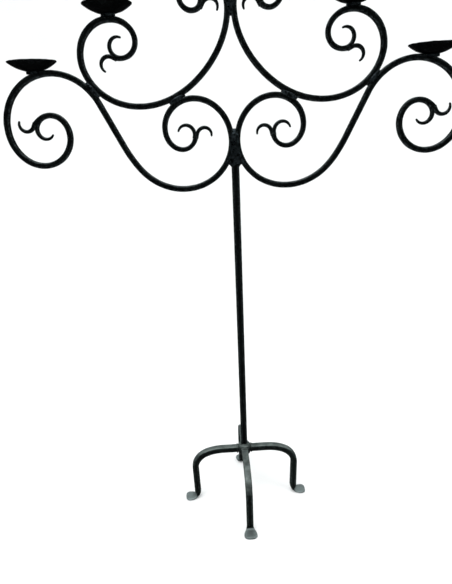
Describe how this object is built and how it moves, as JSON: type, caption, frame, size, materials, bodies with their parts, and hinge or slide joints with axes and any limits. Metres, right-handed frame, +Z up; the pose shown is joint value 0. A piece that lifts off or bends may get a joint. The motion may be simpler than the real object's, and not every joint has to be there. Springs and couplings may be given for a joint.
{
  "type": "floor candelabrum",
  "caption": "Free-standing wrought-iron candelabrum: a slim stem on bent legs carries mirrored forged scrolls with split curled ends and shallow dished candle pans.",
  "frame": {"origin": "on the floor, on the stem's axis, at the centre of the four feet", "axes": "+Z up along the stem, +X to the right along the scrollwork as one faces it, +Y away behind it"},
  "size_m": [1.0904, 0.3832, 1.5157],
  "materials": {
    "bar_iron": "black waxed forge finish, satin",
    "leg_iron": "black finish dulled by dust, worn grey at the feet",
    "pan_iron": "black painted sheet iron, satin",
    "weld_iron": "black over smoothed weld, slightly glossy"
  },
  "bodies": {
    "root": {"centre_post": "bar_iron", "hub": "leg_iron", "leg_back": "leg_iron", "leg_front": "leg_iron", "leg_left": "leg_iron", "leg_right": "leg_iron", "lower_scroll_left": "bar_iron", "lower_scroll_right": "bar_iron", "pan_centre": "pan_iron", "pan_outer_left": "pan_iron", "pan_outer_right": "pan_iron", "pan_saddle_centre": "weld_iron", "pan_saddle_outer_left": "weld_iron", "pan_saddle_outer_right": "weld_iron", "pan_saddle_upper_left": "weld_iron", "pan_saddle_upper_right": "weld_iron", "pan_screw_centre": "pan_iron", "pan_screw_outer_left": "pan_iron", "pan_screw_outer_right": "pan_iron", "pan_screw_upper_left": "pan_iron", "pan_screw_upper_right": "pan_iron", "pan_upper_left": "pan_iron", "pan_upper_right": "pan_iron", "stem": "bar_iron", "upper_scroll_left": "bar_iron", "upper_scroll_right": "bar_iron", "weld_centre": "weld_iron", "weld_inner_left": "weld_iron", "weld_inner_right": "weld_iron", "weld_outer_left": "weld_iron", "weld_outer_right": "weld_iron", "weld_top": "weld_iron"}
  },
  "joints": []
}
